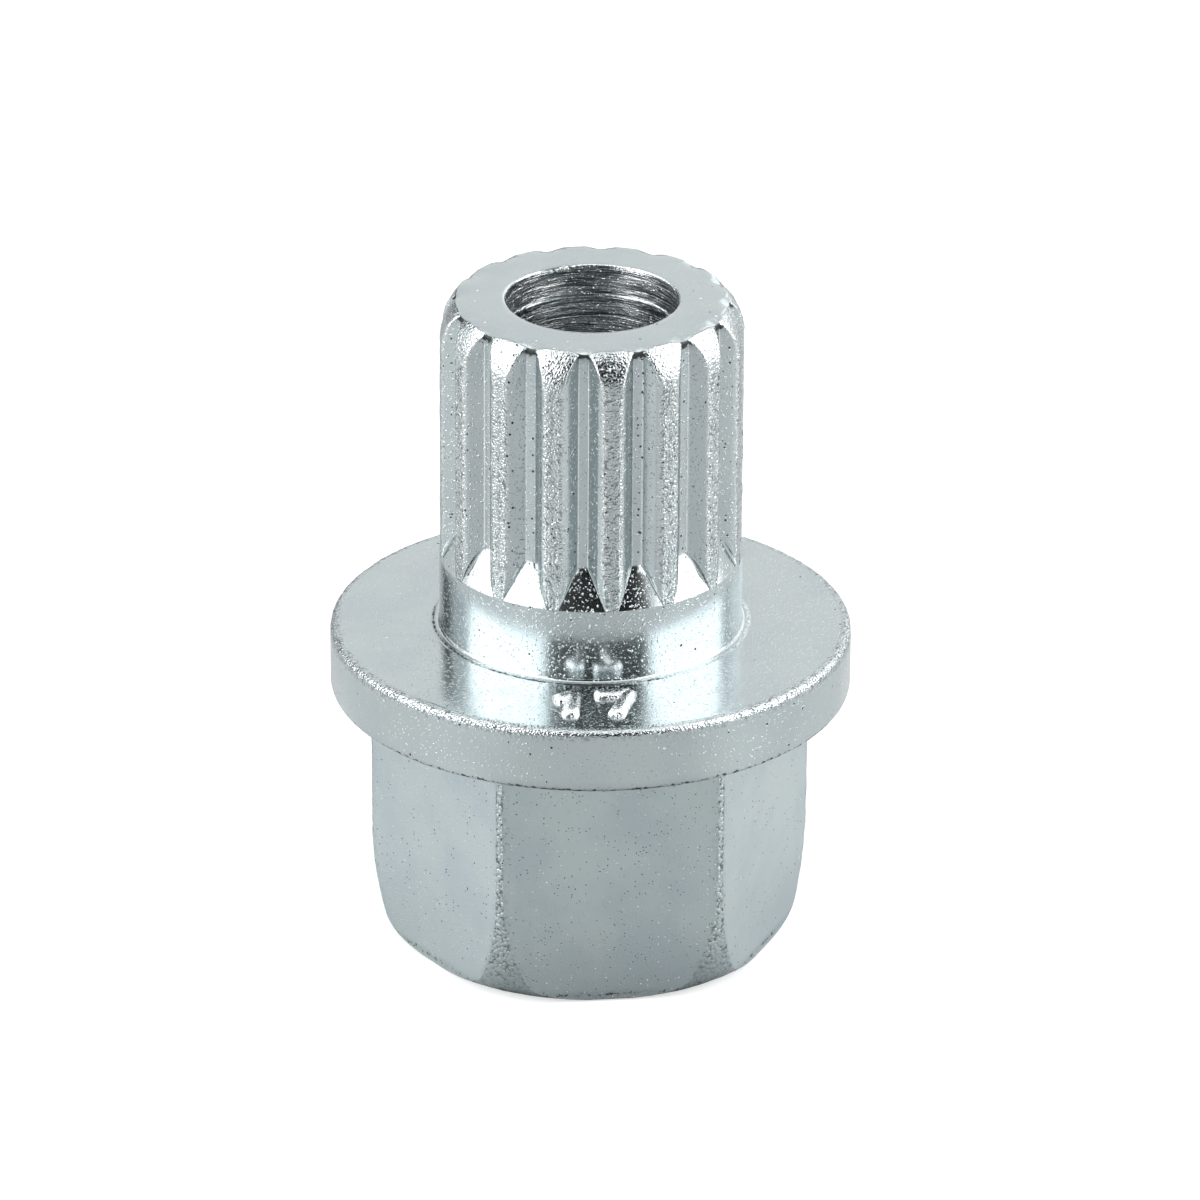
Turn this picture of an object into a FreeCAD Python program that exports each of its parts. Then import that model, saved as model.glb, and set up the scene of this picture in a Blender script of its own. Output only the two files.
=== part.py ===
"""A locking wheel nut key: a hexagon for the wheel wrench, a flange and a splined post.

One solid piece of steel. It stands on the foot of its hexagon, with the origin at the middle
of the foot and +Z up the bore to the splined end. A flat of the hexagon faces -Y.
"""
import FreeCAD
import Part
import math
import os

# Hexagon: the corners are turned down a little, and bow inwards to a rounded foot.
hex_across_flats = 17.0
hex_height = 11.65
corner_turned_off = 0.075
crown_height = 5.2
crown_inset = 0.74
foot_round = 1.15

# Flange: thickness at the rim, and the slope of its top up to the post. The rim is rounded
# above and chamfered below.
flange_dia = 23.0
flange_thickness = 2.92
flange_slope_deg = 1.0
rim_round = 0.28
rim_chamfer = 0.25

# Post: length above the rim's top edge. Its nose is an arc that meets the end face at an edge.
post_dia = 13.35
post_length = 15.37
base_bevel = 0.3
nose_height = 1.8
nose_radius = 2.6

# Grooves: one turned floor that runs out as a cone, and flanks that open to rounded shoulders.
groove_count = 16
groove_depth = 0.685
groove_floor_width = 0.41
groove_angle_deg = 90.0
groove_clock_deg = -9.5
plain_length = 3.41
runout_angle_deg = 20.0
shoulder_round = 0.5
shoulder_edge_angle_deg = 10.0

# Bore: drilled right through, with a broken edge at each mouth.
bore_dia = 7.6
nose_mouth_chamfer = 0.1
foot_mouth_chamfer = 0.4

# How far a cutting solid stands clear of what it cuts.
overshoot = 0.5

axis_point = FreeCAD.Vector(0, 0, 0)
axis_up = FreeCAD.Vector(0, 0, 1)
flat_radius = hex_across_flats / 2
sharp_corner_radius = flat_radius / math.cos(math.pi / 6)
corner_radius = sharp_corner_radius - corner_turned_off
flange_radius = flange_dia / 2
post_radius = post_dia / 2
floor_radius = post_radius - groove_depth
bore_radius = bore_dia / 2
rim_top = hex_height + flange_thickness
top = rim_top + post_length


def at(radius, height):
    """A point of a turned outline."""
    return FreeCAD.Vector(radius, 0, height)


def on_flange(radius):
    """The point of the flange's sloped top at a radius."""
    return at(radius, rim_top + (flange_radius - radius) * math.tan(math.radians(flange_slope_deg)))


def line(start, end):
    return Part.LineSegment(start, end).toShape()


def arc(start, middle, end):
    return Part.Arc(start, middle, end).toShape()


def rounded_path(corners):
    """Straight edges through (point, radius) corners, with an arc wherever the radius isn't 0."""
    edges = []
    here = corners[0][0]
    for index in range(1, len(corners)):
        point, radius = corners[index]
        if radius:
            arriving = (point - corners[index - 1][0]).normalize()
            leaving = (corners[index + 1][0] - point).normalize()
            half_turn = arriving.getAngle(leaving) / 2
            inwards = (leaving - arriving).normalize()
            arc_start = point - arriving * (radius * math.tan(half_turn))
            arc_end = point + leaving * (radius * math.tan(half_turn))
            arc_middle = point + inwards * (radius / math.cos(half_turn) - radius)
            edges += [line(here, arc_start), arc(arc_start, arc_middle, arc_end)]
            here = arc_end
        else:
            edges.append(line(here, point))
            here = point
    return edges


def turned(edges):
    """The solid that a closed outline makes when it turns once about the axis."""
    return Part.Face(Part.Wire(edges)).revolve(axis_point, axis_up, 360)


def hexagon_blank():
    """What the hexagon is cut from: straight above, bowed to a rounded foot below."""
    crown_radius = (crown_height ** 2 + crown_inset ** 2) / (2 * crown_inset)
    crown_centre = at(corner_radius - crown_radius, crown_height)
    round_reach = math.sqrt((crown_radius - foot_round) ** 2 - (crown_height - foot_round) ** 2)
    round_centre = at(crown_centre.x + round_reach, foot_round)
    to_round = (round_centre - crown_centre).normalize()
    foot_edge = at(round_centre.x, 0)
    round_end = crown_centre + to_round * crown_radius
    crown_top = at(corner_radius, crown_height)
    round_bisector = (to_round - axis_up).normalize()
    crown_bisector = (to_round + at(1, 0)).normalize()
    blank_top = hex_height + overshoot
    return turned([
        line(at(0, 0), foot_edge),
        arc(foot_edge, round_centre + round_bisector * foot_round, round_end),
        arc(round_end, crown_centre + crown_bisector * crown_radius, crown_top),
        line(crown_top, at(corner_radius, blank_top)),
        line(at(corner_radius, blank_top), at(0, blank_top)),
        line(at(0, blank_top), at(0, 0)),
    ])


def hexagon():
    """The wrench hexagon: six flats on the turned blank."""
    corners = []
    for step in range(7):
        turn = math.radians(60 * step)
        corners.append(FreeCAD.Vector(math.cos(turn), math.sin(turn), 0) * sharp_corner_radius)
    prism = Part.Face(Part.makePolygon(corners)).extrude(axis_up * hex_height)
    return prism.common(hexagon_blank())


def flange_and_post():
    """The round upper half: rim, sloped top, post and nose."""
    nose_turn = math.asin(nose_height / nose_radius)
    nose_centre = at(post_radius - nose_radius, top - nose_height)
    nose_foot = at(post_radius, nose_centre.z)
    nose_middle = nose_centre + at(math.cos(nose_turn / 2), math.sin(nose_turn / 2)) * nose_radius
    nose_edge = nose_centre + at(math.cos(nose_turn), math.sin(nose_turn)) * nose_radius
    edge_limit = 0.4 * flange_thickness
    chamfer = min(rim_chamfer, edge_limit)
    outline = rounded_path([
        (at(0, hex_height), 0),
        (at(flange_radius - chamfer, hex_height), 0),
        (at(flange_radius, hex_height + chamfer), 0),
        (at(flange_radius, rim_top), min(rim_round, edge_limit)),
        (on_flange(post_radius + base_bevel), 0),
        (on_flange(post_radius) + axis_up * base_bevel, 0),
        (nose_foot, 0),
    ])
    outline += [
        arc(nose_foot, nose_middle, nose_edge),
        line(nose_edge, at(0, top)),
        line(at(0, top), at(0, hex_height)),
    ]
    return turned(outline)


def groove_section():
    """The section of one groove, with +X out from the axis through its middle.

    Each shoulder is an arc that leaves the flank smoothly and runs just out of the post, so
    that it meets the land at a slight edge.
    """
    half_angle = math.radians(groove_angle_deg / 2)
    tip = FreeCAD.Vector(floor_radius - groove_floor_width / 2 / math.tan(half_angle), 0, 0)
    up_flank = FreeCAD.Vector(math.cos(half_angle), math.sin(half_angle), 0)
    into_metal = FreeCAD.Vector(-math.sin(half_angle), math.cos(half_angle), 0)

    edge_angle = math.radians(shoulder_edge_angle_deg)
    centre_distance = math.sqrt(post_radius ** 2 + shoulder_round ** 2
                                - 2 * post_radius * shoulder_round * math.cos(edge_angle))
    start = tip + into_metal * shoulder_round
    reach = start.dot(up_flank)
    flank_length = math.sqrt(reach ** 2 - start.dot(start) + centre_distance ** 2) - reach
    centre = start + up_flank * flank_length

    outward = FreeCAD.Vector(centre).normalize()
    flank_end = centre - into_metal * shoulder_round
    shoulder_top = centre + outward * shoulder_round
    shoulder_middle = centre + (outward - into_metal).normalize() * shoulder_round
    clear = outward * (post_radius + 2 * overshoot)

    def mirrored(point):
        return FreeCAD.Vector(point.x, -point.y, 0)

    return Part.Face(Part.Wire([
        line(tip, flank_end),
        arc(flank_end, shoulder_middle, shoulder_top),
        line(shoulder_top, clear),
        line(clear, mirrored(clear)),
        line(mirrored(clear), mirrored(shoulder_top)),
        arc(mirrored(shoulder_top), mirrored(shoulder_middle), mirrored(flank_end)),
        line(mirrored(flank_end), tip),
    ]))


def groove_ring():
    """The space outside the turned floor that all the grooves share."""
    runout_slope = math.tan(math.radians(runout_angle_deg))
    ring_radius = post_radius + overshoot
    runout_top = rim_top + plain_length + groove_depth / runout_slope
    ring_foot = runout_top - (ring_radius - floor_radius) / runout_slope
    ring_top = top + overshoot
    return turned(rounded_path([
        (at(floor_radius, runout_top), 0),
        (at(floor_radius, ring_top), 0),
        (at(ring_radius, ring_top), 0),
        (at(ring_radius, ring_foot), 0),
        (at(floor_radius, runout_top), 0),
    ]))


def grooves():
    """Every groove, as the metal that it takes from the post."""
    ring = groove_ring()
    wedge = groove_section().extrude(axis_up * (top + 2 * overshoot))
    cuts = []
    for step in range(groove_count):
        turned_wedge = wedge.copy()
        turned_wedge.rotate(axis_point, axis_up, groove_clock_deg - 90 + 360 * step / groove_count)
        cuts.append(turned_wedge.common(ring))
    return cuts


def bore():
    """The drilled hole with its two broken edges."""
    nose_mouth = bore_radius + nose_mouth_chamfer
    foot_mouth = bore_radius + foot_mouth_chamfer
    return turned(rounded_path([
        (at(0, -overshoot), 0),
        (at(foot_mouth + overshoot, -overshoot), 0),
        (at(bore_radius, foot_mouth_chamfer), 0),
        (at(bore_radius, top - nose_mouth_chamfer), 0),
        (at(nose_mouth + overshoot, top + overshoot), 0),
        (at(0, top + overshoot), 0),
        (at(0, -overshoot), 0),
    ]))


def wheel_nut_key():
    body = hexagon().fuse(flange_and_post())
    body = body.cut(grooves())
    body = body.cut(bore())
    return body.removeSplitter()


os.makedirs("parts", exist_ok=True)
key = wheel_nut_key()
key.exportStep("parts/wheel_nut_key.step")
print("solids", len(key.Solids), "valid", key.isValid(), "volume", round(key.Volume, 2))
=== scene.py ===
"""Looks of the locking wheel nut key: bright zinc plating on a forged and turned steel body.

Sizes are in millimetres and angles in degrees, as in the CAD source, until a finished mesh is
scaled to metres. An azimuth is measured from -Y towards +X.
"""

import bisect
import math

import bmesh
import bpy
from mathutils import Matrix, Vector, noise


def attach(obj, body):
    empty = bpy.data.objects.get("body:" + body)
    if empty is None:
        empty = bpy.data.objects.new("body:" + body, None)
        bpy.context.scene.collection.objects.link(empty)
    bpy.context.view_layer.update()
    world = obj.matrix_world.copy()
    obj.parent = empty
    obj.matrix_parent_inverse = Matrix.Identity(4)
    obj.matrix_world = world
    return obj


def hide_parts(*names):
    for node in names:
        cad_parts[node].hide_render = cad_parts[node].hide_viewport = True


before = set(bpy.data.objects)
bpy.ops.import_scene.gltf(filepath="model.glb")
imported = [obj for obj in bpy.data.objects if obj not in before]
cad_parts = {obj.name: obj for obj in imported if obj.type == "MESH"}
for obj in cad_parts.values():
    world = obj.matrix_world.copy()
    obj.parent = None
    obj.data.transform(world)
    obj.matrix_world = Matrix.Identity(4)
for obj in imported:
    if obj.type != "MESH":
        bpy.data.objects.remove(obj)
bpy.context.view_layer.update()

MM = 0.001

# Hexagon: the turned corners bow inwards to a rounded foot.
FLAT_RADIUS = 8.5
HEX_TOP = 11.65
CORNER_RADIUS = FLAT_RADIUS / math.cos(math.radians(30)) - 0.075
CROWN_TOP = 5.2
CROWN_INSET = 0.74
FOOT_ROUND = 1.15

# Flange.
RIM_RADIUS = 11.5
RIM_TOP = 14.57
RIM_ROUND = 0.28
RIM_UNDER_ROUND = 0.28
FLANGE_SLOPE = math.tan(math.radians(1.0))

# Post, and the fillet and low ring where it meets the flange.
POST_RADIUS = 6.675
TOP = 29.94
BASE_FILLET = 0.14
BASE_RING_WIDTH = 0.13
BASE_RING_RISE = 0.025
NOSE_HEIGHT = 1.8
NOSE_RADIUS = 2.6

# Grooves.
GROOVE_COUNT = 16
GROOVE_AZIMUTH = -9.5
FLOOR_RADIUS = 5.99
FLOOR_HALF_WIDTH = 0.205
GROOVE_HALF_ANGLE = math.radians(45)
SHOULDER_ROUND = 0.5
SHOULDER_EDGE_ANGLE = math.radians(10)
GROOVE_TOP_SINK = 0.14
GROOVE_TOP_ANGLE = math.radians(7)
# Grime and a painted shadow under the rolled lip darken the groove tops in the nose, fading out
# over this rise from the groove's floor.
GROOVE_TOP_GRIME_AND_SHADE_DEPTH = 0.45
RUNOUT_SLOPE = math.tan(math.radians(20))
RUNOUT_FOOT = RIM_TOP + 3.41
RUNOUT_TOP = RUNOUT_FOOT + (POST_RADIUS - FLOOR_RADIUS) / RUNOUT_SLOPE
RUNOUT_ARCH = 0.08
RUNOUT_ARCH_REACH = 0.3
RUNOUT_SPREAD = math.radians(9.4)

# Bore: a ledge runs round it below the mouth, and turned rings mark its wall.
BORE_RADIUS = 3.8
MOUTH_CHAMFER = 0.03
MOUTH_RAGGEDNESS = 0.045
FOOT_CHAMFER = 0.4
LEDGE_DEPTH = 1.42
LEDGE_WIDTH = 0.05
RING_DEPTH = 0.045

# What the skin's points carry for its finish, grime, painted shade and painted highlights,
# and how deep the worn places are dented.
SURFACE_LAYERS = ("worn", "grime_and_shade", "bright", "grain", "pitted")
WEAR_DEPTH = 0.03

# Columns of the skin: each half groove has floor, flank and land columns at these shares of
# their stretch, and each half side of the hexagon has flat and corner columns.
COLUMNS = 384
FLOOR_SHARES = [0.0, 0.5, 0.92, 1.0]
FLANK_SHARES = [0.0, 0.09, 0.36, 0.6, 0.72, 0.86, 1.0]
LAND_SHARES = [0.0, 0.14, 0.5, 1.0]
HALF_GROOVE = 12
FLAT_COLUMNS = 20
HALF_SIDE = 32
LAYOUT_BLEND = 0.8

# Number raised on the flange: the hexagon's own width across flats. Each digit is a list of
# strokes through (across, up) points.
NUMBER_STROKES = [
    [(-1.75, 0.3), (-1.4, 0.65), (-1.0, 1.0)],
    [(-1.0, 1.0), (-1.0, 0.0), (-1.0, -1.0)],
    [(0.05, 0.95), (0.85, 0.95), (1.7, 0.95)],
    [(1.7, 0.95), (1.2, 0.0), (0.8, -1.0)],
]
NUMBER_STROKE_RADIUS = 0.37
NUMBER_HEIGHT_SHARE = 0.7
NUMBER_AZIMUTH = -4.8
NUMBER_RADIUS = 8.95
# The number's wear and grain, and a painted highlight that lightens its colour.
NUMBER_FINISH_AND_HIGHLIGHT = {"worn": 0.5, "bright": 0.9, "grain": 1.5}

# Plating: reaches of the smallest and largest pit in cells, heights in millimetres, how many
# bright specks there are to a pit, and the scales of grain and frost per millimetre.
# Bright specks are raised, and their colour is lightened as painted glints.
PIT_REACHES = (0.05, 0.32)
PIT_DEPTH = 0.02
SPECKS_PER_PIT = 0.35
SPECK_HEIGHT = 0.015
BEAD_HEIGHT = 0.045
GRAIN_SCALE = 9.0
GRAIN_HEIGHT = 0.017
FROST_SCALE = 15.0
FROST_HEIGHT = 0.001
SLOW_HEIGHT = 0.006

# Floor. Glossy rays see a painted glow on it beside the key, stronger near it than further out and
# none in front, and see painted shade in a darker colour close round the foot.
FLOOR_COLOUR = (0.452, 0.478, 0.482)
FLOOR_SHADE_COLOUR = (0.339, 0.358, 0.362)
FLOOR_GLOW = 0.6
FLOOR_SIDE_PAINTED_GLOW = (0.42, 0.19)
FLOOR_SIDE_REACH = (16 * MM, 38 * MM)
FLOOR_SHADE_REACH = (9 * MM, 18 * MM)

# Softboxes and ceiling: a little warm, so that the highlights in the bluish metal stay white.
LAMP_COLOUR = (1.0, 0.945, 0.935)

# Camera, fitted to the photograph's circles and hexagon.
CAMERA_AZIMUTH = math.radians(-6.26)
CAMERA_ELEVATION = math.radians(24.83)
CAMERA_ROLL = -0.00607
CAMERA_DISTANCE = 366.45
CAMERA_SHIFT = (0.413, 0.851)
CAMERA_LENS = 249.0


def smooth_step(share):
    share = min(max(share, 0.0), 1.0)
    return share * share * (3 - 2 * share)


def facing(azimuth, elevation=0.0):
    """The unit vector towards an azimuth and elevation, both in degrees."""
    turn, rise = math.radians(azimuth), math.radians(elevation)
    return Vector((
        math.sin(turn) * math.cos(rise), -math.cos(turn) * math.cos(rise), math.sin(rise)
    ))


# Outline


def span(start, end, count):
    """Points from start towards end, without the end itself."""
    return [Vector(start).lerp(Vector(end), step / count) for step in range(count)]


def sweep(centre, radius, first, last, count):
    """Points along an arc between two angles in degrees, without the last one."""
    points = []
    for step in range(count):
        turn = math.radians(first + (last - first) * step / count)
        points.append(Vector(centre) + radius * Vector((math.cos(turn), math.sin(turn))))
    return points


def on_flange(radius):
    return (radius, RIM_TOP + (RIM_RADIUS - radius) * FLANGE_SLOPE)


def post_outline():
    """From the bore's mouth over the end face and nose, down to the post's foot."""
    nose_turn = math.degrees(math.asin(NOSE_HEIGHT / NOSE_RADIUS))
    nose_centre = (POST_RADIUS - NOSE_RADIUS, TOP - NOSE_HEIGHT)
    face_edge = nose_centre[0] + NOSE_RADIUS * math.cos(math.radians(nose_turn))
    soft = 0.04
    points = span((BORE_RADIUS + MOUTH_CHAMFER, TOP), (face_edge - soft, TOP), 7)
    points += [Vector((face_edge - soft, TOP)), Vector((face_edge, TOP - 0.3 * soft))]
    points += sweep(nose_centre, NOSE_RADIUS, nose_turn - 1, 0, 24)
    points += span((POST_RADIUS, TOP - NOSE_HEIGHT), (POST_RADIUS, RUNOUT_TOP), 20)
    points += span((POST_RADIUS, RUNOUT_TOP), (POST_RADIUS, RUNOUT_FOOT + soft), 14)
    points += [Vector((POST_RADIUS, RUNOUT_FOOT + lift)) for lift in (soft, 0.0, -soft)]
    fillet_top = on_flange(POST_RADIUS + BASE_FILLET)[1] + BASE_RING_RISE + BASE_FILLET
    points += span((POST_RADIUS, RUNOUT_FOOT - 2 * soft), (POST_RADIUS, fillet_top), 9)
    return points, fillet_top


def flange_outline(fillet_top):
    """From the post's foot over the flange and its rim, to the top of the hexagon."""
    points = sweep((POST_RADIUS + BASE_FILLET, fillet_top), BASE_FILLET, 180, 265, 6)
    ring_start = POST_RADIUS + BASE_FILLET
    ring_end = ring_start + BASE_RING_WIDTH
    raised = Vector((0, BASE_RING_RISE))
    for radius in (ring_start, ring_start + 0.3 * BASE_RING_WIDTH, ring_end - 0.05):
        points.append(Vector(on_flange(radius)) + raised)
    points.append(Vector(on_flange(ring_end)) + raised / 2)
    round_centre = Vector((RIM_RADIUS - RIM_ROUND, RIM_TOP - RIM_ROUND))
    points.append(Vector(on_flange(ring_end + 0.04)))
    points += span(on_flange(ring_end + 0.14), on_flange(round_centre.x - 0.35), 12)
    points += span(on_flange(round_centre.x - 0.35), on_flange(round_centre.x - 0.02), 4)
    points += sweep(round_centre, RIM_ROUND, 86, 0, 8)
    under_centre = Vector((RIM_RADIUS - RIM_UNDER_ROUND, HEX_TOP + RIM_UNDER_ROUND))
    points += span((RIM_RADIUS, round_centre.y), (RIM_RADIUS, under_centre.y), 8)
    points += sweep(under_centre, RIM_UNDER_ROUND, 0, -90, 4)
    points += span((under_centre.x, HEX_TOP), (CORNER_RADIUS, HEX_TOP), 3)
    return points


def hexagon_outline():
    """Down the turned corners, round the crown and across the foot to the bore's foot."""
    crown_radius = (CROWN_TOP ** 2 + CROWN_INSET ** 2) / (2 * CROWN_INSET)
    crown_centre = Vector((CORNER_RADIUS - crown_radius, CROWN_TOP))
    reach = math.sqrt((crown_radius - FOOT_ROUND) ** 2 - (CROWN_TOP - FOOT_ROUND) ** 2)
    round_centre = Vector((crown_centre.x + reach, FOOT_ROUND))
    meeting = math.degrees(math.atan2(FOOT_ROUND - CROWN_TOP, reach))
    points = [Vector((CORNER_RADIUS, HEX_TOP)), Vector((CORNER_RADIUS, HEX_TOP - 0.05))]
    points += span((CORNER_RADIUS, HEX_TOP - 0.15), (CORNER_RADIUS, CROWN_TOP), 13)
    points += sweep(crown_centre, crown_radius, 0, meeting, 18)
    points += sweep(round_centre, FOOT_ROUND, meeting, -90, 10)
    points += span((round_centre.x, 0), (BORE_RADIUS + FOOT_CHAMFER, 0), 5)
    points.append(Vector((BORE_RADIUS + FOOT_CHAMFER, 0)))
    return points


def bore_outline():
    """Up the bore from the foot. The rows are close together where the mouth shows them."""
    shown = 4.0
    mouth = TOP - MOUTH_CHAMFER
    points = span((BORE_RADIUS, FOOT_CHAMFER), (BORE_RADIUS, TOP - shown), 8)
    points += span((BORE_RADIUS, TOP - shown), (BORE_RADIUS, mouth - 0.05), 62)
    points += [Vector((BORE_RADIUS, mouth - drop)) for drop in (0.05, 0.02, 0.0)]
    points.append(Vector((BORE_RADIUS + 0.7 * MOUTH_CHAMFER, TOP - 0.2 * MOUTH_CHAMFER)))
    return points


# Sections


def groove_curve():
    """Half a groove's flank and shoulder, from its tip to the land: radii, angles, lengths."""
    tip = Vector((FLOOR_RADIUS - FLOOR_HALF_WIDTH / math.tan(GROOVE_HALF_ANGLE), 0))
    up_flank = Vector((math.cos(GROOVE_HALF_ANGLE), math.sin(GROOVE_HALF_ANGLE)))
    into_metal = Vector((-up_flank.y, up_flank.x))
    reach_squared = (POST_RADIUS ** 2 + SHOULDER_ROUND ** 2
                     - 2 * POST_RADIUS * SHOULDER_ROUND * math.cos(SHOULDER_EDGE_ANGLE))
    start = tip + into_metal * SHOULDER_ROUND
    along = start.dot(up_flank)
    flank_length = math.sqrt(along ** 2 - start.dot(start) + reach_squared) - along
    centre = start + up_flank * flank_length
    points = span(tip, tip + up_flank * flank_length, 60)
    flank_turn = math.degrees(math.atan2(-into_metal.y, -into_metal.x))
    points += sweep(centre, SHOULDER_ROUND, flank_turn, flank_turn + 90, 90)
    radii, angles, lengths = [], [], []
    for point in points:
        if point.length > POST_RADIUS:
            break
        step = (point - before).length if radii else 0.0
        lengths.append(lengths[-1] + step if lengths else 0.0)
        radii.append(point.length)
        angles.append(math.atan2(point.y, point.x))
        before = point
    return radii, angles, lengths


CURVE_RADII, CURVE_ANGLES, CURVE_LENGTHS = groove_curve()


def read_curve(keys, values, key):
    """The value at a key between the samples of the groove's curve."""
    place = min(max(bisect.bisect(keys, key), 1), len(keys) - 1)
    low, high = keys[place - 1], keys[place]
    share = min(max((key - low) / (high - low), 0.0), 1.0)
    return values[place - 1] + (values[place] - values[place - 1]) * share


def grooved(wall, height, column):
    """Where a column of the post's skin goes: its wear, grime and painted shade, painted
    highlight.

    In the run-out the floor rises later towards its edges, and its edges spread evenly.
    """
    groove, within = divmod(column + HALF_GROOVE, 2 * HALF_GROOVE)
    within -= HALF_GROOVE
    place = abs(within)
    across = FLOOR_SHARES[min(place, len(FLOOR_SHARES) - 1)]
    run = max(RUNOUT_TOP - height, 0.0) / (RUNOUT_TOP - RUNOUT_FOOT)
    arch = RUNOUT_ARCH * across ** 2 * (1 - min(run / RUNOUT_ARCH_REACH, 1.0))
    rise = max(run - arch, 0.0)
    floor = FLOOR_RADIUS + rise * (POST_RADIUS - FLOOR_RADIUS)
    deepest = min(floor, wall)
    floor_length = read_curve(CURVE_RADII, CURVE_LENGTHS, max(deepest, FLOOR_RADIUS))
    wall_length = read_curve(CURVE_RADII, CURVE_LENGTHS, max(wall, FLOOR_RADIUS))
    wall_angle = read_curve(CURVE_LENGTHS, CURVE_ANGLES, wall_length)
    narrow_angle = FLOOR_HALF_WIDTH / FLOOR_RADIUS
    spread_angle = narrow_angle + (RUNOUT_SPREAD - narrow_angle) * min(rise, 1.0)
    spread_angle *= rise > 0
    spread_length = read_curve(CURVE_ANGLES, CURVE_LENGTHS, spread_angle)
    floor_length = min(max(floor_length, spread_length * (rise > 0)), wall_length)
    floor_angle = max(read_curve(CURVE_LENGTHS, CURVE_ANGLES, floor_length), spread_angle)
    worn = bright = 0.0
    if place < len(FLOOR_SHARES) - 1:
        radius, angle = deepest, floor_angle * FLOOR_SHARES[place]
    elif place < HALF_GROOVE - len(LAND_SHARES) + 1:
        share = FLANK_SHARES[place - len(FLOOR_SHARES) + 1]
        length = floor_length + (wall_length - floor_length) * share
        radius = min(read_curve(CURVE_LENGTHS, CURVE_RADII, length), wall) if share else deepest
        angle = max(read_curve(CURVE_LENGTHS, CURVE_ANGLES, length), spread_angle)
        worn = smooth_step((share - 0.75) / 0.2) if wall > floor else 0.0
        # Painted highlights lighten the floor's edge and the shoulder.
        if wall > floor:
            bright = float(rise == 0) if share == 0 else 0.45 * (share > 0.8)
    else:
        share = LAND_SHARES[place - HALF_GROOVE + len(LAND_SHARES) - 1]
        half_pitch = math.pi / GROOVE_COUNT
        land_start = max(wall_angle, spread_angle)
        radius, angle = wall, land_start + (half_pitch - land_start) * share
        worn = 1.0 - 0.3 * smooth_step(share) if wall > floor else 0.0
        # A painted highlight lightens the land next to the shoulder.
        bright = 0.3 * (1 - share) if wall > floor else 0.0
    even = 2 * math.pi / COLUMNS * place
    apart = max((FLOOR_RADIUS - wall) / LAYOUT_BLEND, (RUNOUT_FOOT - height) / LAYOUT_BLEND)
    angle += (even - angle) * smooth_step(apart)
    turn = 2 * math.pi / GROOVE_COUNT * groove + math.copysign(angle, within)
    turn += math.radians(GROOVE_AZIMUTH)
    on_land = place >= HALF_GROOVE - len(LAND_SHARES)
    nose = smooth_step((height - (TOP - NOSE_HEIGHT)) / 0.3) * (height < TOP - 0.01)
    # Grime and a painted shadow under the rolled lip darken each groove's top in the nose.
    near_end = max(wall - FLOOR_RADIUS, 0.0) / GROOVE_TOP_GRIME_AND_SHADE_DEPTH
    grime_and_shade = 0.0 if on_land or not nose else 1 - smooth_step(near_end)
    if nose:
        worn = max(worn * (1 - 0.5 * nose), nose * (0.5 if on_land else 0.1))
    return radius, turn, worn, grime_and_shade, bright


def rolled_over(radius, height, turn):
    """How far the end face and nose dip where a groove runs out through them."""
    pitch = 2 * math.pi / GROOVE_COUNT
    from_middle = (turn - math.radians(GROOVE_AZIMUTH) + pitch / 2) % pitch - pitch / 2
    across = 1 - smooth_step(abs(from_middle) / GROOVE_TOP_ANGLE)
    outwards = smooth_step((radius - 5.45) / 0.5)
    below = 1 - smooth_step((TOP - height) / 1.2)
    return GROOVE_TOP_SINK * across * outwards * below


def six_sided(turned, height, column):
    """Where a column of the hexagon's skin goes: on a flat, or on the turned corner."""
    offset = round(-GROOVE_AZIMUTH / (360 / COLUMNS))
    side, within = divmod(column - offset + HALF_SIDE, 2 * HALF_SIDE)
    within -= HALF_SIDE
    place = abs(within)
    edge = math.acos(min(FLAT_RADIUS / turned, 1.0))
    corner = math.radians(30)
    if place <= FLAT_COLUMNS:
        share = 1.0 if place == FLAT_COLUMNS else 0.985 * place / (FLAT_COLUMNS - 1)
        angle = edge * share
        worn = 0.3 + 0.7 * (share == 1) if share > 0.97 else 0.0
    else:
        share = (place - FLAT_COLUMNS) / (HALF_SIDE - FLAT_COLUMNS)
        angle = edge + (corner - edge) * share ** 1.4
        worn = 1.0
    radius = min(turned, FLAT_RADIUS / math.cos(min(angle, edge)))
    wide = smooth_step((corner - edge) / math.radians(12))
    turn = math.radians(60) * side + math.copysign(angle, within)
    # Painted shade darkens the hexagon just under the flange; a band round the foot is darkened
    # too, and the narrow worn corners carry grime.
    under_flange = 1 - smooth_step((HEX_TOP - height) / 0.12)
    at_foot = 1 - smooth_step(abs(height - 0.35) / 0.35)
    grime_and_shade = max(under_flange, 0.5 * at_foot, 0.3 * worn * (1 - wide))
    return radius, turn, max(worn * (1 - 0.6 * wide), 0.3 * at_foot), grime_and_shade, 0.0


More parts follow.
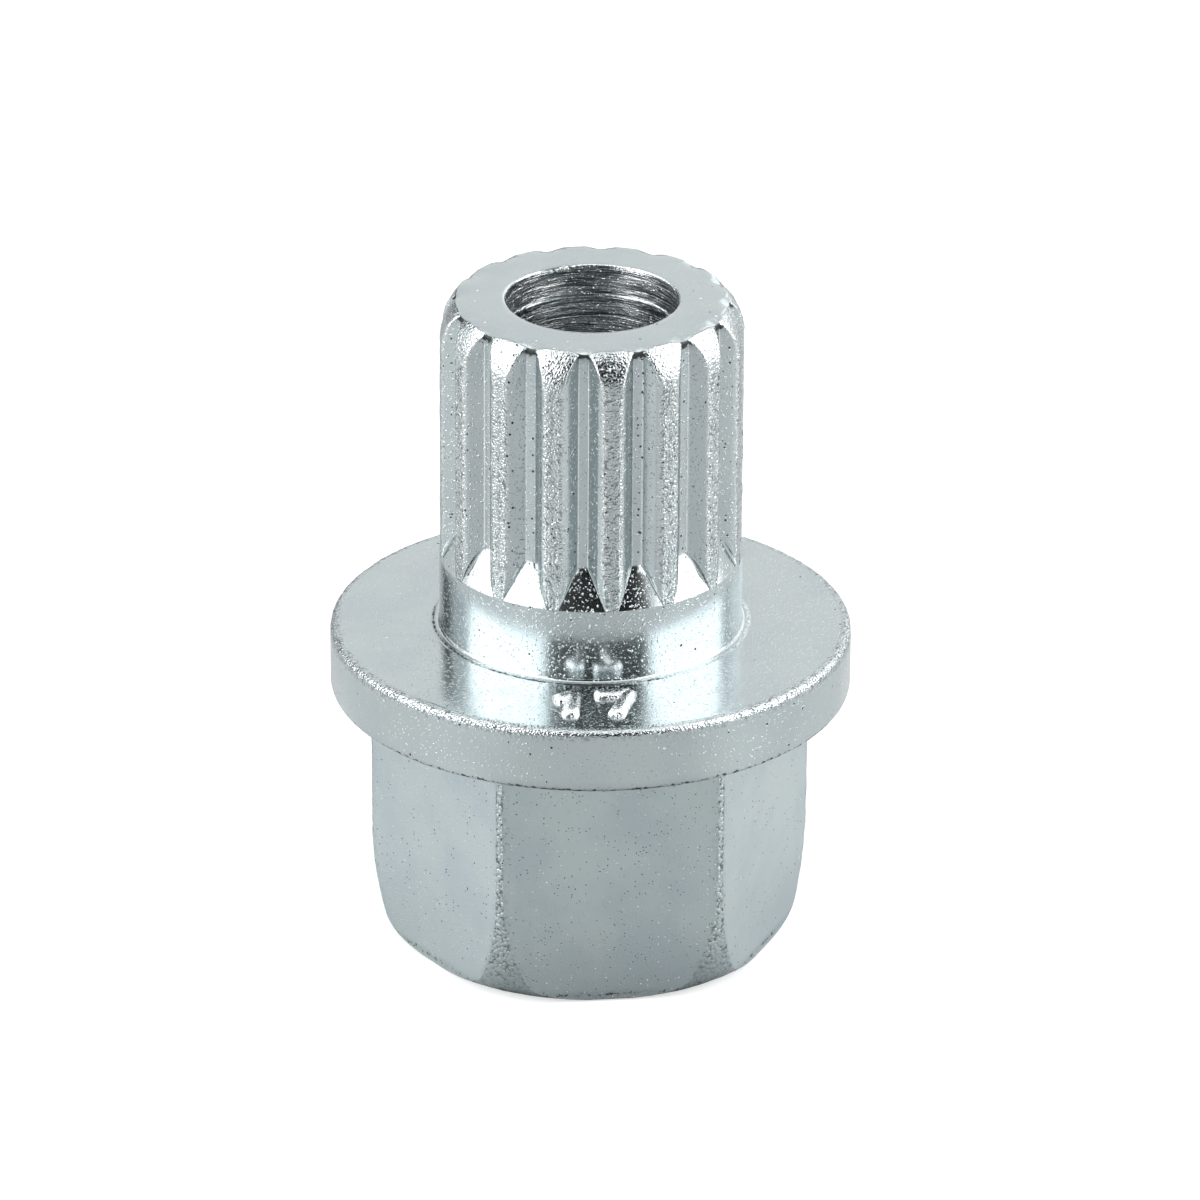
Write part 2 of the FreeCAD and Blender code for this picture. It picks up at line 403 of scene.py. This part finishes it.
def bored(radius, height, column):
    """The bore's wall: a ledge below the mouth, and rings that drift a little as they turn."""
    depth = TOP - height
    turn = 2 * math.pi / COLUMNS * column
    around = Vector((math.cos(turn), math.sin(turn), 0))
    drift = 0.05 * noise.noise(around * 1.3 + Vector((0, 0, depth * 0.8)))
    rings = noise.noise(Vector((3.1, 0.4, (depth + drift) * 9.0)))
    rings += 0.7 * noise.noise(Vector((7.7, 5.2, (depth + drift) * 3.7)))
    chatter = noise.noise(around * 14.0 + Vector((0, 0, depth * 6.0)))
    inset = RING_DEPTH * (0.5 + 0.42 * rings + 0.12 * chatter)
    wander = 0.06 * noise.noise(around * 3.0 + Vector((0, 0, 9.0)))
    inset += LEDGE_WIDTH * smooth_step((depth - LEDGE_DEPTH - wander) / 0.08 + 0.5)
    near_mouth = smooth_step((depth - MOUTH_CHAMFER) / 0.02)
    ragged = MOUTH_RAGGEDNESS * noise.noise(around * 38.0) * (1 - smooth_step(depth / 0.25))
    radius -= inset * near_mouth + ragged
    return radius, turn + math.radians(GROOVE_AZIMUTH), 0.0, 0.0, 0.0


def placed(radius, height, column):
    """The radius, angle, wear, grime and painted shade, and painted highlight of a point of the
    skin.
    """
    if radius <= BORE_RADIUS + 0.001 and height > FOOT_CHAMFER:
        return bored(radius, height, column)
    if height > RUNOUT_FOOT - 1.5 * LAYOUT_BLEND:
        return grooved(radius, height, column)
    if height <= HEX_TOP and radius < CORNER_RADIUS + 0.001:
        if height > 0 or radius > FLAT_RADIUS:
            return six_sided(radius, height, column)
    even = 2 * math.pi / COLUMNS * column + math.radians(GROOVE_AZIMUTH)
    rim = Vector((radius - RIM_RADIUS, height - RIM_TOP)).length
    under = Vector((radius - RIM_RADIUS, height - HEX_TOP)).length
    ring = Vector(on_flange(POST_RADIUS + BASE_FILLET + BASE_RING_WIDTH))
    creased = 1 - smooth_step((Vector((radius, height)) - ring).length / 0.16)
    # Grime and painted shade in the crease round the post's foot, in patches that fade out towards
    # +X.
    patchy = 0.75 + 0.6 * noise.noise(Vector((math.cos(even), math.sin(even), 0.0)) * 4.0)
    patchy *= smooth_step((0.75 - math.sin(even)) / 0.7)
    kept = 0.55 * max(math.cos(even - math.radians(6)), 0.0) ** 12
    worn = max((1 - kept) * (1 - smooth_step((rim - 0.3) / 0.2)), 0.5 - smooth_step(under / 0.5),
               0.4 * creased)
    # Painted shade darkens the rim's under-edge beside the hexagon.
    grime_and_shade = max(0.6 * (1 - smooth_step((under - 0.13) / 0.25)), patchy * creased)
    return radius, even, worn, grime_and_shade, 0.0


def roughened(radius, height):
    """How strong the plating's grain is at a point of the outline, and how much it is pitted."""
    if height > TOP - 0.05:
        return 0.45, 0.12
    if RUNOUT_FOOT - 0.1 < height < RUNOUT_TOP:
        return 1.2, 0.6
    if RIM_TOP + 0.5 < height <= RUNOUT_FOOT:
        return 1.05, 0.2
    if height > RUNOUT_TOP or height < HEX_TOP - 0.01:
        return 1.0, 1.0
    if radius > RIM_RADIUS - 0.1 and height < RIM_TOP - RIM_ROUND:
        return 0.6, 0.12
    return 0.95, 0.06


# Body


def key_body():
    """The whole key as one closed skin: its outline is spun, then each point is placed."""
    upper, fillet_top = post_outline()
    outline = upper + flange_outline(fillet_top) + hexagon_outline() + bore_outline()
    mesh = bmesh.new()
    ring = [mesh.verts.new((point.x, 0, point.y)) for point in outline]
    edges = [mesh.edges.new((first, second)) for first, second in zip(ring, ring[1:] + ring[:1])]
    bmesh.ops.spin(mesh, geom=ring + edges, cent=(0, 0, 0), axis=(0, 0, 1), dvec=(0, 0, 0),
                   angle=2 * math.pi, steps=COLUMNS, use_merge=True)
    for name in SURFACE_LAYERS:
        mesh.verts.layers.float.new(name)
    worn, grime_and_shade, bright, grain, pitted = (mesh.verts.layers.float[name] for name in SURFACE_LAYERS)
    for face in mesh.faces:
        middle = face.calc_center_median()
        away = math.hypot(middle.x, middle.y)
        if away < BORE_RADIUS + 0.04:
            face.material_index = 2
        elif middle.z < HEX_TOP - 0.01:
            face.material_index = 1 if away < CORNER_RADIUS + 0.01 else 0
        face.smooth = True
    for point in mesh.verts:
        radius = math.hypot(point.co.x, point.co.y)
        column = round(math.atan2(point.co.y, point.co.x) / (2 * math.pi) * COLUMNS) % COLUMNS
        point[grain], point[pitted] = roughened(radius, point.co.z)
        radius, turn, point[worn], point[grime_and_shade], point[bright] = placed(
            radius, point.co.z, column)
        point.co.x, point.co.y = radius * math.sin(turn), -radius * math.cos(turn)
        point.co.z -= rolled_over(radius, point.co.z, turn)
    bmesh.ops.remove_doubles(mesh, verts=mesh.verts, dist=0.0005)
    bmesh.ops.recalc_face_normals(mesh, faces=mesh.faces)
    mesh.normal_update()
    for point in mesh.verts:
        dents = noise.noise(point.co * 3.3) + 0.6 * noise.noise(point.co * 8.1)
        waves = noise.noise(point.co * 0.55)
        sink = point[worn] * WEAR_DEPTH * (0.6 + dents) + 0.3 * WEAR_DEPTH * waves
        outermost = math.hypot(point.co.x, point.co.y) > RIM_RADIUS - 0.1
        if outermost or point.co.z > TOP - 0.1 or point.co.z < 0.1:
            sink = max(sink, 0.003)
        point.co -= point.normal * sink
    return finished(mesh, "wheel_nut_key_skin")


def finished(mesh, name):
    """The object of a mesh that was built in millimetres."""
    bmesh.ops.scale(mesh, vec=(MM, MM, MM), verts=mesh.verts)
    data = bpy.data.meshes.new(name)
    mesh.to_mesh(data)
    mesh.free()
    piece = bpy.data.objects.new(name, data)
    bpy.context.scene.collection.objects.link(piece)
    return piece


def raised_number():
    """The number's round strokes, bent round the flange with their feet sunk in it."""
    curve = bpy.data.curves.new("number_strokes", "CURVE")
    curve.dimensions = "3D"
    curve.bevel_depth = NUMBER_STROKE_RADIUS
    curve.bevel_resolution = 4
    curve.resolution_u = 6
    curve.use_fill_caps = True
    for stroke in NUMBER_STROKES:
        spline = curve.splines.new("POLY")
        ends = [(stroke[0], stroke[1]), (stroke[-1], stroke[-2])]
        tips = [Vector(end).lerp(Vector(end) * 2 - Vector(inner), 0.12) for end, inner in ends]
        line = [tips[0], *map(Vector, stroke), tips[1]]
        spline.points.add(len(line) - 1)
        for point, (across, up) in zip(spline.points, line):
            point.co = (across, up, 0, 1)
        spline.points[0].radius = spline.points[-1].radius = 0.45
    holder = bpy.data.objects.new("number_strokes", curve)
    bpy.context.scene.collection.objects.link(holder)
    bpy.context.view_layer.update()
    flat = bpy.data.meshes.new_from_object(holder)
    mesh = bmesh.new()
    mesh.from_mesh(flat)
    bpy.data.objects.remove(holder)
    bpy.data.meshes.remove(flat)
    bmesh.ops.subdivide_edges(mesh, edges=mesh.edges, cuts=1, use_grid_fill=True)
    for point in mesh.verts:
        radius = NUMBER_RADIUS - point.co.y
        turn = math.radians(NUMBER_AZIMUTH) + point.co.x / NUMBER_RADIUS
        height = on_flange(radius)[1] + NUMBER_HEIGHT_SHARE * point.co.z
        point.co = (radius * math.sin(turn), -radius * math.cos(turn), height)
    for name, value in NUMBER_FINISH_AND_HIGHLIGHT.items():
        layer = mesh.verts.layers.float.new(name)
        for point in mesh.verts:
            point[layer] = value
    bmesh.ops.recalc_face_normals(mesh, faces=mesh.faces)
    for face in mesh.faces:
        face.smooth = True
    return finished(mesh, "raised_number")


# Finishes


def add(tree, kind, **settings):
    """A shader node with its settings, and its inputs given by name."""
    node = tree.nodes.new(kind)
    inputs = settings.pop("inputs", {})
    for name, value in settings.items():
        setattr(node, name, value)
    for name, value in inputs.items():
        socket = node.inputs[name]
        if isinstance(value, bpy.types.NodeSocket):
            tree.links.new(value, socket)
        else:
            socket.default_value = value
    return node


def math_node(tree, operation, first, second, clamp=False):
    node = add(tree, "ShaderNodeMath", operation=operation, use_clamp=clamp)
    for socket, value in zip(node.inputs, (first, second)):
        if isinstance(value, bpy.types.NodeSocket):
            tree.links.new(value, socket)
        else:
            socket.default_value = value
    return node.outputs[0]


def ramp(tree, value, low, high, to_low=0.0, to_high=1.0):
    """Maps a value from one range to another, smoothly and within it."""
    node = add(tree, "ShaderNodeMapRange", interpolation_type="SMOOTHSTEP", inputs={
        "Value": value, "From Min": low, "From Max": high, "To Min": to_low, "To Max": to_high,
    })
    return node.outputs["Result"]


def noise_value(tree, coordinates, scale, detail=2.0, roughness=0.5):
    node = add(tree, "ShaderNodeTexNoise", inputs={
        "Vector": coordinates, "Scale": scale, "Detail": detail, "Roughness": roughness,
    })
    return node.outputs["Fac"]


def plating_group():
    """Zinc plating over forged steel: grain, pits, beads on the worn places, grime and painted
    shade in creases, and specks whose lightened colour is a painted glint.

    It reads object coordinates. Its scales are per millimetre and its Height is in millimetres.
    """
    group = bpy.data.node_groups.new("zinc plating", "ShaderNodeTree")
    for name in ("Grain", "Pit share", "Pit size", "Pit cells", "Bead cells", "Worn", "Grime and shade"):
        group.interface.new_socket(name, in_out="INPUT", socket_type="NodeSocketFloat")
    for name in ("Height", "Dark", "Light", "Mottle"):
        group.interface.new_socket(name, in_out="OUTPUT", socket_type="NodeSocketFloat")
    given = group.nodes.new("NodeGroupInput").outputs
    result = group.nodes.new("NodeGroupOutput").inputs

    def calculate(operation, first, second):
        return math_node(group, operation, first, second)

    where = add(group, "ShaderNodeTexCoord").outputs["Object"]
    in_mm = add(group, "ShaderNodeVectorMath", operation="SCALE",
                inputs={"Vector": where, "Scale": 1 / MM}).outputs[0]

    cells = add(group, "ShaderNodeTexVoronoi",
                inputs={"Vector": in_mm, "Scale": given["Pit cells"]})
    chance = add(group, "ShaderNodeSeparateColor", inputs={"Color": cells.outputs["Color"]})
    rare = calculate("POWER", chance.outputs["Green"], 2.0)
    reach = calculate("MULTIPLY", ramp(group, rare, 0.0, 1.0, *PIT_REACHES), given["Pit size"])
    ragged = calculate("MULTIPLY", noise_value(group, in_mm, 14.0), 0.1)
    nearness = calculate("SUBTRACT", calculate("ADD", reach, ragged), cells.outputs["Distance"])
    spots = ramp(group, nearness, 0.03, 0.09)
    crowded = ramp(group, noise_value(group, in_mm, 0.9), 0.38, 0.62, 0.25, 1.75)
    pits = calculate("MULTIPLY", spots,
                     calculate("LESS_THAN", chance.outputs["Red"],
                               calculate("MULTIPLY", crowded, given["Pit share"])))
    # Specks: raised bumps whose lightened colour is a painted glint.
    speckled = calculate("SUBTRACT", 1.0,
                         calculate("MULTIPLY", given["Pit share"], SPECKS_PER_PIT))
    specks_and_glints = calculate("MULTIPLY", spots,
                       calculate("GREATER_THAN", chance.outputs["Red"], speckled))

    beads = add(group, "ShaderNodeTexVoronoi",
                inputs={"Vector": in_mm, "Scale": given["Bead cells"]}).outputs["Distance"]
    domes = calculate("SUBTRACT", 1.0, calculate("MULTIPLY", beads, beads))
    domes = calculate("MULTIPLY", domes, given["Worn"])
    patches = noise_value(group, in_mm, 4.5, detail=3.0, roughness=0.65)
    gaps = calculate("MULTIPLY", ramp(group, beads, 0.42, 0.65), given["Worn"])
    gaps = calculate("MULTIPLY", gaps, ramp(group, patches, 0.42, 0.58, 0.05, 0.75))
    # Grime and painted shade: a patchy darkening, and never less than 0.4 of its input.
    grime_shade_patches = calculate("ADD", given["Grime and shade"], calculate("MULTIPLY", patches, 1.6))
    grime_shade_patches = calculate("MULTIPLY", ramp(group, grime_shade_patches, 1.25, 1.5),
                       ramp(group, given["Grime and shade"], 0.02, 0.2))
    grime_shade_patches = calculate("MAXIMUM", grime_shade_patches, calculate("MULTIPLY", given["Grime and shade"], 0.4))
    dark = calculate("MAXIMUM", calculate("MAXIMUM", pits, gaps), grime_shade_patches)

    grain = ramp(group, noise_value(group, in_mm, GRAIN_SCALE, detail=1.0), 0.59, 0.77)
    frost = noise_value(group, in_mm, FROST_SCALE, detail=1.0)
    slow = noise_value(group, in_mm, 1.4, detail=2.0)
    height = calculate("ADD", calculate("MULTIPLY", grain, GRAIN_HEIGHT),
                       calculate("MULTIPLY", frost, FROST_HEIGHT))
    height = calculate("MULTIPLY", height, given["Grain"])
    height = calculate("ADD", height, calculate("MULTIPLY", slow, SLOW_HEIGHT))
    height = calculate("ADD", height, calculate("MULTIPLY", domes, BEAD_HEIGHT))
    height = calculate("ADD", height, calculate("MULTIPLY", specks_and_glints, SPECK_HEIGHT))
    height = calculate("SUBTRACT", height, calculate("MULTIPLY", pits, PIT_DEPTH))
    group.links.new(height, result["Height"])
    group.links.new(dark, result["Dark"])
    group.links.new(specks_and_glints, result["Light"])
    group.links.new(noise_value(group, in_mm, 0.32, detail=3.0), result["Mottle"])
    return group


def mixed(tree, factor, first, second):
    """A colour node between two colours, each given as a colour or as a node's output."""
    node = add(tree, "ShaderNodeMix", data_type="RGBA")
    tree.links.new(factor, node.inputs["Factor"])
    for name, colour in (("A", first), ("B", second)):
        if isinstance(colour, bpy.types.NodeSocket):
            tree.links.new(colour, node.inputs[name])
        else:
            node.inputs[name].default_value = (*colour, 1)
    return node.outputs["Result"]


def plated_material(name, plating, colours, roughness, grain, pit_share, pit_size, pit_cells,
                    bead_cells):
    """Plated steel: colour, roughness and bump follow the plating group."""
    material = bpy.data.materials.new(name)
    material.use_nodes = True
    tree = material.node_tree
    shader = tree.nodes["Principled BSDF"]
    shader.inputs["Metallic"].default_value = 1.0
    layers = {}
    for layer in SURFACE_LAYERS:
        layers[layer] = add(tree, "ShaderNodeAttribute", attribute_name=layer).outputs["Fac"]
    finish = add(tree, "ShaderNodeGroup", node_tree=plating, inputs={
        "Grain": math_node(tree, "MULTIPLY", layers["grain"], grain),
        "Pit share": math_node(tree, "MULTIPLY", layers["pitted"], pit_share),
        "Pit size": pit_size, "Pit cells": pit_cells, "Bead cells": bead_cells,
        "Worn": layers["worn"], "Grime and shade": layers["grime_and_shade"],
    })
    dark, mottle = finish.outputs["Dark"], finish.outputs["Mottle"]
    colour = mixed(tree, ramp(tree, mottle, 0.35, 0.65), *colours)
    # Painted highlights and glints lighten the colour towards pale zinc; the dark share, with
    # pits, bead gaps, grime and painted shade, darkens it.
    light = math_node(tree, "MAXIMUM", layers["bright"], finish.outputs["Light"])
    colour = mixed(tree, math_node(tree, "MULTIPLY", light, 0.8), colour, (0.88, 0.91, 0.92))
    colour = mixed(tree, math_node(tree, "MULTIPLY", dark, 0.95), colour,
                   (0.03, 0.035, 0.035))
    tree.links.new(colour, shader.inputs["Base Color"])
    rough = ramp(tree, mottle, 0.3, 0.7, roughness, roughness + 0.06)
    rough = math_node(tree, "ADD", rough, math_node(tree, "MULTIPLY", dark, 0.3))
    tree.links.new(rough, shader.inputs["Roughness"])
    relief = add(tree, "ShaderNodeBump", inputs={
        "Height": finish.outputs["Height"], "Distance": MM,
    })
    tree.links.new(relief.outputs["Normal"], shader.inputs["Normal"])
    return material


def bored_material():
    """The turned wall of the bore: bare steel, drawn round in fine rings."""
    material = bpy.data.materials.new("bored steel")
    material.use_nodes = True
    tree = material.node_tree
    shader = tree.nodes["Principled BSDF"]
    shader.inputs["Metallic"].default_value = 1.0
    where = add(tree, "ShaderNodeTexCoord").outputs["Object"]
    stretched = add(tree, "ShaderNodeMapping", inputs={
        "Vector": where, "Scale": (0.5 / MM, 0.5 / MM, 16 / MM),
    }).outputs["Vector"]
    rings = noise_value(tree, stretched, 1.0, detail=3.0, roughness=0.6)
    colour = mixed(tree, ramp(tree, rings, 0.42, 0.56), (0.1, 0.125, 0.135), (0.74, 0.79, 0.8))
    tree.links.new(colour, shader.inputs["Base Color"])
    tree.links.new(ramp(tree, rings, 0.3, 0.7, 0.32, 0.18), shader.inputs["Roughness"])
    flecks = ramp(tree, noise_value(tree, where, 9 / MM, detail=1.0), 0.58, 0.74, 0.0, 0.6)
    height = math_node(tree, "ADD", rings, flecks)
    relief = add(tree, "ShaderNodeBump", inputs={"Height": height, "Distance": 0.035 * MM})
    tree.links.new(relief.outputs["Normal"], shader.inputs["Normal"])
    return material


# Studio


def seen_share(tree):
    """1 for camera, glossy and transmission rays, and 0 for diffuse ones."""
    path = add(tree, "ShaderNodeLightPath")
    seen = math_node(tree, "ADD", path.outputs["Is Camera Ray"], path.outputs["Is Glossy Ray"])
    return math_node(tree, "ADD", seen, path.outputs["Is Transmission Ray"], clamp=True)


def studio_world():
    """White for whatever sees it directly or in the metal, and dimmer as a light."""
    world = bpy.data.worlds.new("studio")
    bpy.context.scene.world = world
    world.use_nodes = True
    tree = world.node_tree
    background = tree.nodes["Background"]
    background.inputs["Color"].default_value = (1, 1, 1, 1)
    tree.links.new(ramp(tree, seen_share(tree), 0.0, 1.0, 0.45, 1.0),
                   background.inputs["Strength"])


def floor():
    """A wide pale floor. Its glow lifts it to white for the camera where no shadow falls.

    The metal mirrors a painted glow from it at the sides, and painted shade close round the foot.
    """
    mesh = bmesh.new()
    bmesh.ops.create_circle(mesh, cap_ends=True, segments=64, radius=6000)
    piece = finished(mesh, "floor")
    material = bpy.data.materials.new("pale floor")
    material.use_nodes = True
    tree = material.node_tree
    shader = tree.nodes["Principled BSDF"]
    shader.inputs["Roughness"].default_value = 0.9
    shader.inputs["Specular IOR Level"].default_value = 0.0
    shader.inputs["Emission Color"].default_value = (1, 1, 1, 1)
    path = add(tree, "ShaderNodeLightPath")
    where = add(tree, "ShaderNodeTexCoord").outputs["Object"]
    away = add(tree, "ShaderNodeVectorMath", operation="LENGTH", inputs={"Vector": where})
    towards = add(tree, "ShaderNodeVectorMath", operation="NORMALIZE", inputs={"Vector": where})
    aside = add(tree, "ShaderNodeSeparateXYZ", inputs={"Vector": towards.outputs["Vector"]})
    aside = math_node(tree, "ABSOLUTE", aside.outputs["X"], 0.0)
    # Painted reflection: only glossy rays see this glow, beside the key.
    painted_side_glow = math_node(
        tree, "MULTIPLY", ramp(tree, aside, 0.45, 0.85),
        ramp(tree, away.outputs["Value"], *FLOOR_SIDE_REACH, *FLOOR_SIDE_PAINTED_GLOW))
    # Painted shade: glossy rays see a darker floor colour close round the foot.
    shaded = math_node(tree, "MULTIPLY", path.outputs["Is Glossy Ray"],
                       ramp(tree, away.outputs["Value"], *FLOOR_SHADE_REACH, 1.0, 0.0))
    tree.links.new(mixed(tree, shaded, FLOOR_COLOUR, FLOOR_SHADE_COLOUR),
                   shader.inputs["Base Color"])
    glow = math_node(tree, "MULTIPLY", path.outputs["Is Glossy Ray"], painted_side_glow)
    seen = math_node(tree, "ADD", path.outputs["Is Camera Ray"],
                     path.outputs["Is Transmission Ray"])
    glow = math_node(tree, "ADD", glow, math_node(tree, "MULTIPLY", seen, FLOOR_GLOW))
    tree.links.new(glow, shader.inputs["Emission Strength"])
    piece.data.materials.append(material)


def softbox(name, azimuth, elevation, distance, width, height, radiance):
    """An area lamp that faces the key. Its radiance is how bright it looks in the metal."""
    light = bpy.data.lights.new(name, "AREA")
    light.shape = "RECTANGLE"
    light.color = LAMP_COLOUR
    light.size, light.size_y = width * MM, height * MM
    light.energy = radiance * math.pi * light.size * light.size_y
    lamp = bpy.data.objects.new(name, light)
    away = facing(azimuth, elevation)
    middle = Vector((0, 0, TOP / 2 * MM))
    lamp.matrix_world = (Matrix.Translation(middle + away * distance * MM)
                         @ away.to_track_quat("Z", "Y").to_matrix().to_4x4())
    lamp.visible_camera = False
    bpy.context.scene.collection.objects.link(lamp)


def card(name, azimuths, elevations, distance, radiance=0.0):
    """A card bent round the key, black or with a painted glow, which only the metal mirrors."""
    mesh = bmesh.new()
    bmesh.ops.create_grid(mesh, x_segments=24, y_segments=8, size=0.5)
    for point in mesh.verts:
        azimuth = azimuths[0] + (azimuths[1] - azimuths[0]) * (point.co.x + 0.5)
        elevation = elevations[0] + (elevations[1] - elevations[0]) * (point.co.y + 0.5)
        point.co = facing(azimuth, elevation) * distance + Vector((0, 0, TOP / 2))
    piece = finished(mesh, name)
    material = bpy.data.materials.new(f"face of the {name}")
    material.use_nodes = True
    shader = material.node_tree.nodes["Principled BSDF"]
    shader.inputs["Base Color"].default_value = (0.005, 0.005, 0.005, 1)
    shader.inputs["Specular IOR Level"].default_value = 0.0
    shader.inputs["Emission Color"].default_value = (1, 1, 1, 1)
    shader.inputs["Emission Strength"].default_value = radiance
    piece.data.materials.append(material)
    piece.visible_camera = False
    piece.visible_diffuse = False
    piece.visible_shadow = False


def camera():
    turn_right = Vector((math.cos(CAMERA_AZIMUTH), math.sin(CAMERA_AZIMUTH), 0))
    back = facing(math.degrees(CAMERA_AZIMUTH), math.degrees(CAMERA_ELEVATION))
    rise = back.cross(turn_right)
    cosine, sine = math.cos(CAMERA_ROLL), math.sin(CAMERA_ROLL)
    right = cosine * turn_right - sine * rise
    upward = sine * turn_right + cosine * rise
    place = (Vector((0, 0, RIM_TOP)) + CAMERA_SHIFT[0] * right + CAMERA_SHIFT[1] * upward
             + CAMERA_DISTANCE * back) * MM
    data = bpy.data.cameras.new("camera")
    data.lens = CAMERA_LENS
    data.sensor_width = 36
    data.clip_start, data.clip_end = 0.01, 20
    holder = bpy.data.objects.new("camera", data)
    matrix = Matrix((right, upward, back)).transposed().to_4x4()
    holder.matrix_world = Matrix.Translation(place) @ matrix
    bpy.context.scene.collection.objects.link(holder)
    bpy.context.scene.camera = holder


bpy.context.scene.view_settings.view_transform = "Standard"
camera()
studio_world()
floor()
softbox("left_softbox", -76, 30, 600, 760, 700, 3.2)
softbox("right_softbox", 76, 30, 600, 760, 700, 3.2)
softbox("ceiling", 180, 80, 700, 500, 500, 1.0)
card("front_card", (-38, 37), (3, 52), 650)
card("back_left_card", (-159, -137), (3, 34), 650)
# This card's glow is a painted reflection: only the metal sees it, and it lights no diffuse
# surface.
card("back_right_card", (126, 164), (3, 34), 650, radiance=1.7)

plating = plating_group()
skin = key_body()
skin.data.materials.append(plated_material(
    "zinc plated steel", plating, ((0.515, 0.574, 0.585), (0.483, 0.541, 0.557)),
    roughness=0.15, grain=1.0, pit_share=0.6, pit_size=0.85, pit_cells=4.5, bead_cells=9.0))
skin.data.materials.append(plated_material(
    "satin zinc on the hexagon", plating, ((0.5, 0.567, 0.578), (0.448, 0.517, 0.542)),
    roughness=0.3, grain=0.5, pit_share=0.35, pit_size=0.8, pit_cells=6.5, bead_cells=6.0))
skin.data.materials.append(bored_material())
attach(skin, "root")
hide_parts("wheel_nut_key")

number = raised_number()
number.data.materials.append(skin.data.materials[0])
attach(number, "root")
